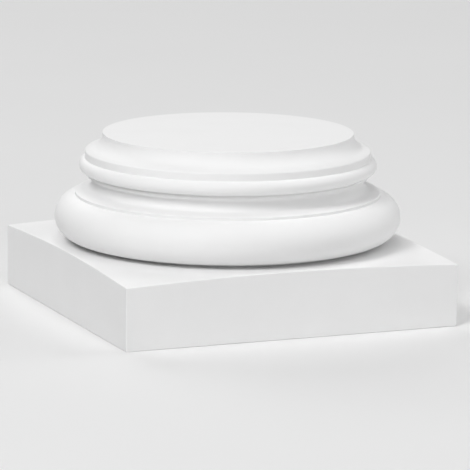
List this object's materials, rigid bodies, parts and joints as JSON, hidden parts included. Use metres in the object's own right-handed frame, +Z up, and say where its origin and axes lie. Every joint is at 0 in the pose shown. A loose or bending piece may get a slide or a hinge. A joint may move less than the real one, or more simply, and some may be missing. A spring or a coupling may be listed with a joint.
{
  "type": "column base",
  "caption": "Attic base for a round column: a square plinth with a weathered top carries a large torus, a scotia, a roll, a band and a flat round seat for the shaft.",
  "frame": {"origin": "centre of the plinth's underside, on the column's axis", "axes": "+Z up along the column's axis, X and Y square to the plinth's faces"},
  "size_m": [0.34, 0.34, 0.1725],
  "materials": {
    "plinth_primer": "white factory primer on moulded rigid polyurethane, matt",
    "turned_base_primer": "white factory primer on moulded rigid polyurethane, matt"
  },
  "bodies": {
    "root": {"plinth": "plinth_primer", "turned_base": "turned_base_primer"}
  },
  "joints": []
}
